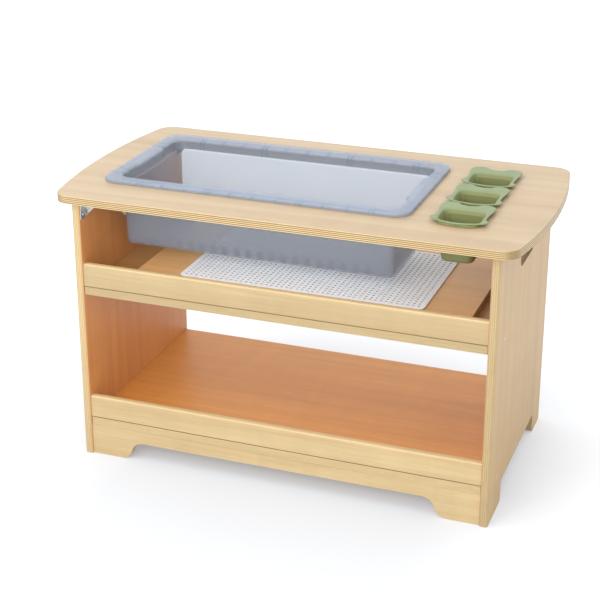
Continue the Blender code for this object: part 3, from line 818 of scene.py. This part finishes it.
def make_cups():
    plastic = sage_plastic()
    outline = flange_outline()
    opening = box_ring(outline, CUP_OPENING)
    collar = box_ring(outline, CUP_COLLAR)
    rim = moved_in(outline, opening, CUP_RIM)
    for node in ("cup_front", "cup_middle", "cup_rear"):
        low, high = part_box(node)
        middle = ((low.x + high.x) / 2, low.y + CUP_BOW_REACH)

        def placed(ring, z):
            return [(middle[0] + x, middle[1] + y, z) for x, y in ring]

        top = high.z
        rings = [placed(moved_in(outline, opening, d), top - drop) for d, drop in FLANGE_EDGE]
        rings += [placed(between(rim, opening, share), top - drop) for share, drop in FLANGE_DISH]
        rings.append(placed(box_ring(outline, CUP_MOUTH), top - CUP_MOUTH_DROP))
        rings += [placed(box_ring(outline, (a, b, b)), low.z + up) for a, b, up in CUP_INSIDE]
        inside = len(rings)
        rings += [placed(box_ring(outline, (a, b, b)), low.z + up) for a, b, up in CUP_OUTSIDE]
        rings.append(placed(box_ring(outline, CUP_BODY), top - CUP_BODY_DROP))
        rings.append(placed(collar, top - CUP_COLLAR_DROP))
        rings += [placed(between(rim, collar, share), top - drop) for share, drop in FLANGE_UNDER]
        rings += [placed(moved_in(outline, opening, d), top - drop) for d, drop in FLANGE_FOOT]
        builder = bmesh.new()
        add_bowl(builder, rings, inside)
        new_piece(node + "_shell", builder, plastic, node, (node,))


# ---------------------------------------------------------------- mat

MAT_PITCH = 0.0117
MAT_HOLE = 0.0025
HOLE_SIDES = 12
MAT_BORDER = 0.0060
MAT_CORNER = 0.0120
MAT_CORNER_STEPS = 6
MAT_EDGE = 0.0005
MAT_COLOURS = ((0.93, 0.94, 0.96), (0.96, 0.965, 0.98))
HOLE_PAINTED_SHADE = (0.34, 0.38, 0.47)

# Places this near to each other count as one, and steps along the tiles' edge are rounded
NEAR = 0.000001
PLACE_DIGITS = 7


def mat_plastic():
    s = Shader("white_mat_plastic")
    place = s.place()
    cloud = s.noise(place, 14.0, detail=3.0)
    colour = s.blend(s.stretch(cloud, 0.3, 0.7), *MAT_COLOURS)
    # Painted shade on the upright faces: the hole walls and the mat's outer edge
    wall = s.math("LESS_THAN", s.math("ABSOLUTE", s.facing()[Z]), 0.5)
    colour = s.blend(wall, colour, HOLE_PAINTED_SHADE)
    grain = s.noise(place, 700.0)
    s.surface(colour, 0.55, s.bump(grain, 0.3, 0.0003), Specular_IOR_Level=0.4)
    return s.made


def make_mat():
    """A sheet with rows of round holes and a plain border."""
    low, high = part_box("mat")
    centre = (low + high) / 2
    size = high - low
    counts = [int((size[a] - 2 * MAT_BORDER) / MAT_PITCH) for a in (X, Y)]
    start = [centre[a] - counts[a] * MAT_PITCH / 2 for a in (X, Y)]
    turns = [2 * math.pi * (i + 0.5) / HOLE_SIDES for i in range(HOLE_SIDES)]
    tile = []
    for turn in turns:
        reach = MAT_PITCH / 2 / max(abs(math.cos(turn)), abs(math.sin(turn)))
        tile.append((reach * math.cos(turn), reach * math.sin(turn)))
    builder = bmesh.new()
    for column in range(counts[0]):
        for row in range(counts[1]):
            x = start[0] + (column + 0.5) * MAT_PITCH
            y = start[1] + (row + 0.5) * MAT_PITCH
            square = [(x + u, y + v) for u, v in tile]
            hole = [(x + MAT_HOLE * math.cos(t), y + MAT_HOLE * math.sin(t)) for t in turns]
            rings = [(square, high.z), (hole, high.z), (hole, low.z), (square, low.z)]
            rows = [[builder.verts.new((*p, z)) for p in ring] for ring, z in rings]
            for first, second in zip(rows, rows[1:]):
                bridge(builder, first, second)
    add_mat_border(builder, centre, size, counts, start, tile, (low.z, high.z))
    new_piece("mat_sheet", builder, mat_plastic(), "mat", ("mat",))


def add_mat_border(builder, centre, size, counts, start, tile, levels):
    """The plain strip from the outermost tiles to the mat's rounded outline."""
    side = {round(v, PLACE_DIGITS) for u, v in tile if u > MAT_PITCH / 2 - NEAR}
    edge = []
    for axis in (X, Y):
        middles = [start[axis] + (i + 0.5) * MAT_PITCH for i in range(counts[axis])]
        edge.append(sorted({round(middle + v, PLACE_DIGITS) for middle in middles for v in side}))
    end = [start[a] + counts[a] * MAT_PITCH for a in (X, Y)]

    def outer(x, y, inset):
        """The outline's points that belong to a point on the edge of the tiles."""
        sx = 1 if x > centre.x else -1
        sy = 1 if y > centre.y else -1
        far_x = centre.x + sx * (size.x / 2 - inset)
        far_y = centre.y + sy * (size.y / 2 - inset)
        on_x = abs(x - start[0]) < NEAR or abs(x - end[0]) < NEAR
        on_y = abs(y - start[1]) < NEAR or abs(y - end[1]) < NEAR
        if on_x and on_y:
            radius = MAT_CORNER - inset
            corner = (far_x - sx * radius, far_y - sy * radius)
            turn = math.degrees(math.atan2(sy, sx))
            return arc(corner, radius, turn - 45, turn + 45, MAT_CORNER_STEPS)
        if on_x:
            return [(far_x, y)]
        return [(x, far_y)]

    loop = [(x, start[1]) for x in edge[0][:-1]]
    loop += [(end[0], y) for y in edge[1][:-1]]
    loop += [(x, end[1]) for x in reversed(edge[0][1:])]
    loop += [(start[0], y) for y in reversed(edge[1][1:])]
    low, high = levels
    rings = ((MAT_EDGE, high), (0.0, high - MAT_EDGE), (0.0, low + MAT_EDGE), (MAT_EDGE, low))
    rows = []
    for inset, z in rings:
        rows.append([[builder.verts.new((*p, z)) for p in outer(x, y, inset)] for x, y in loop])
    for row, z in ((rows[0], high), (rows[-1], low)):
        inner = [builder.verts.new((x, y, z)) for x, y in loop]
        for i in range(len(loop)):
            j = (i + 1) % len(loop)
            builder.faces.new((inner[i], inner[j], row[j][0], row[i][-1]))
            for first, second in zip(row[i], row[i][1:]):
                builder.faces.new((inner[i], second, first))
    flat = [[vert for group in row for vert in group] for row in rows]
    for first, second in zip(flat, flat[1:]):
        bridge(builder, first, second)


# ---------------------------------------------------------------- plugs, screws and brackets

ROUND_SIDES = 32
BRACKET_EDGE = 0.0003

# A plug's rounded edge: distance in from its side, and drop below its face
PLUG_EDGE = ((0.0, 0.0008), (0.0002, 0.0004), (0.0006, 0.0002))
PLUG_COLOURS = ((0.50, 0.345, 0.215), (0.58, 0.42, 0.275))

# A screw's pan head: radius, and height above the plate
SCREW_HEAD = (
    (0.0045, 0.0),
    (0.0045, 0.0006),
    (0.0042, 0.0013),
    (0.0035, 0.0019),
    (0.0024, 0.0023),
    (0.0012, 0.0025),
    (0.0002, 0.0026),
)
SCREW_HEAD_HEIGHT = 0.0026
SCREW_SHANK = 0.0024
SCREW_POINT = 0.0002
SCREW_TAPER = 1.2

# Half the length and half the width of the cross in the head, its depth, and the radius of its
# corners; the cutter stands out of the head by RECESS_RISE
RECESS_REACH = 0.0022
RECESS_WIDTH = 0.0006
RECESS_DEPTH = 0.0013
RECESS_CORNER = 0.0001
RECESS_RISE = 0.001

ZINC_COLOURS = ((0.42, 0.41, 0.39), (0.58, 0.57, 0.55))
SCRATCH_SCALE = (300.0, 60.0, 300.0)
PLUG_SCALE = (400.0, 900.0, 90.0)


def zinc_plate():
    s = Shader("zinc_plate")
    place = s.place()
    spangle = s.noise(place, 180.0, detail=4.0)
    colour = s.blend(s.stretch(spangle, 0.35, 0.65), *ZINC_COLOURS)
    rough = s.stretch(spangle, 0.3, 0.7, 0.30, 0.48)
    scratch = s.noise(s.vector_math("MULTIPLY", place, SCRATCH_SCALE), 1.0)
    s.surface(colour, rough, s.bump(scratch, 0.2, 0.0002), Metallic=1.0)
    return s.made


def plug_wood():
    s = Shader("wood_plug")
    fibre = s.noise(s.vector_math("MULTIPLY", s.place(), PLUG_SCALE), 1.0, detail=3.0)
    colour = s.blend(s.stretch(fibre, 0.3, 0.7), *PLUG_COLOURS)
    s.surface(colour, s.stretch(fibre, 0.2, 0.8, 0.42, 0.55), s.bump(fibre, 0.3, 0.0002))
    return s.made


def add_turned(builder, profile, place):
    """A closed turned shape from (radius, height) points, first and last near the axis."""
    turns = [2 * math.pi * i / ROUND_SIDES for i in range(ROUND_SIDES)]
    rings = []
    for radius, height in profile:
        around = [(radius * math.cos(turn), radius * math.sin(turn), height) for turn in turns]
        rings.append([place @ Vector(point) for point in around])
    add_loft(builder, rings)


def make_plugs():
    wood = plug_wood()
    for node in nodes:
        if not node.startswith("screw_plug_"):
            continue
        low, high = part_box(node)
        centre = (low + high) / 2
        side = 1 if centre.x > 0 else -1
        radius = (high.y - low.y) / 2
        length = high.x - low.x
        face = Vector((high.x if side > 0 else low.x, centre.y, centre.z))
        place = Matrix.Translation(face) @ Matrix.Rotation(side * math.pi / 2, 4, "Y")
        profile = [(radius * 0.3, -length), (radius, -length)]
        profile += [(radius - inset, -drop) for inset, drop in PLUG_EDGE]
        profile += [(radius * 0.5, 0.0), (radius * 0.1, 0.0)]
        builder = bmesh.new()
        add_turned(builder, profile, place)
        new_piece(node + "_turned", builder, wood, "stand", (node,))


def screw_mesh(length):
    """A pan-head screw with a cross recess, its head above the origin and its shank below."""
    builder = bmesh.new()
    tip = length - SCREW_HEAD_HEIGHT
    shoulder = tip - SCREW_TAPER * SCREW_SHANK
    shank = ((SCREW_POINT, -tip), (SCREW_SHANK, -shoulder), (SCREW_SHANK, 0.0))
    add_turned(builder, shank + SCREW_HEAD, Matrix.Identity(4))
    bmesh.ops.recalc_face_normals(builder, faces=builder.faces)
    body = object_from(builder, "screw_body")
    cross = bmesh.new()
    bottom = SCREW_HEAD_HEIGHT - RECESS_DEPTH
    top = SCREW_HEAD_HEIGHT + RECESS_RISE
    for x, y in ((RECESS_REACH, RECESS_WIDTH), (RECESS_WIDTH, RECESS_REACH)):
        add_block(cross, (-x, -y, bottom), (x, y, top), corner=RECESS_CORNER)
    bmesh.ops.recalc_face_normals(cross, faces=cross.faces)
    cutter = object_from(cross, "screw_cross")
    cut = body.modifiers.new("recess", "BOOLEAN")
    cut.operation = "DIFFERENCE"
    cut.object = cutter
    cut.use_self = True
    bpy.context.view_layer.update()
    evaluated = body.evaluated_get(bpy.context.evaluated_depsgraph_get())
    done = bpy.data.meshes.new_from_object(evaluated)
    for obj in (body, cutter):
        bpy.data.objects.remove(obj)
    return done


def object_from(builder, name):
    mesh = bpy.data.meshes.new(name)
    builder.to_mesh(mesh)
    builder.free()
    obj = bpy.data.objects.new(name, mesh)
    bpy.context.scene.collection.objects.link(obj)
    return obj


def make_bracket_screws(steel):
    """The eight screws of the brackets, all of one length, cut once and copied."""
    mesh = None
    for node in nodes:
        if not node.startswith(("panel_screw_", "top_screw_")):
            continue
        low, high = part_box(node)
        centre = (low + high) / 2
        if node.startswith("top_screw_"):
            turn = Matrix.Rotation(math.pi, 4, "X")
            head = Vector((centre.x, centre.y, low.z + SCREW_HEAD_HEIGHT))
            length = high.z - low.z
        else:
            side = 1 if centre.x > 0 else -1
            turn = Matrix.Rotation(-side * math.pi / 2, 4, "Y")
            inner = low.x if side > 0 else high.x
            head = Vector((inner + side * SCREW_HEAD_HEIGHT, centre.y, centre.z))
            length = high.x - low.x
        if mesh is None:
            mesh = screw_mesh(length)
        builder = bmesh.new()
        builder.from_mesh(mesh)
        builder.transform(Matrix.Translation(head) @ turn)
        new_piece(node + "_cross", builder, steel, "stand", (node,))


def finish_metal():
    steel = zinc_plate()
    make_bracket_screws(steel)
    for node, obj in nodes.items():
        if node.startswith(("bracket_", "shelf_screw_")):
            set_material(obj, steel)
        if node.startswith("bracket_"):
            ease_edges(obj, BRACKET_EDGE, 30)


# ---------------------------------------------------------------- all of it

make_camera()
make_world()
for softbox, setting in SOFTBOXES.items():
    make_softbox(softbox, *setting)
make_floor()
finish_boards()
make_tub()
make_cups()
make_mat()
make_plugs()
finish_metal()
bpy.context.scene.view_settings.view_transform = "Standard"
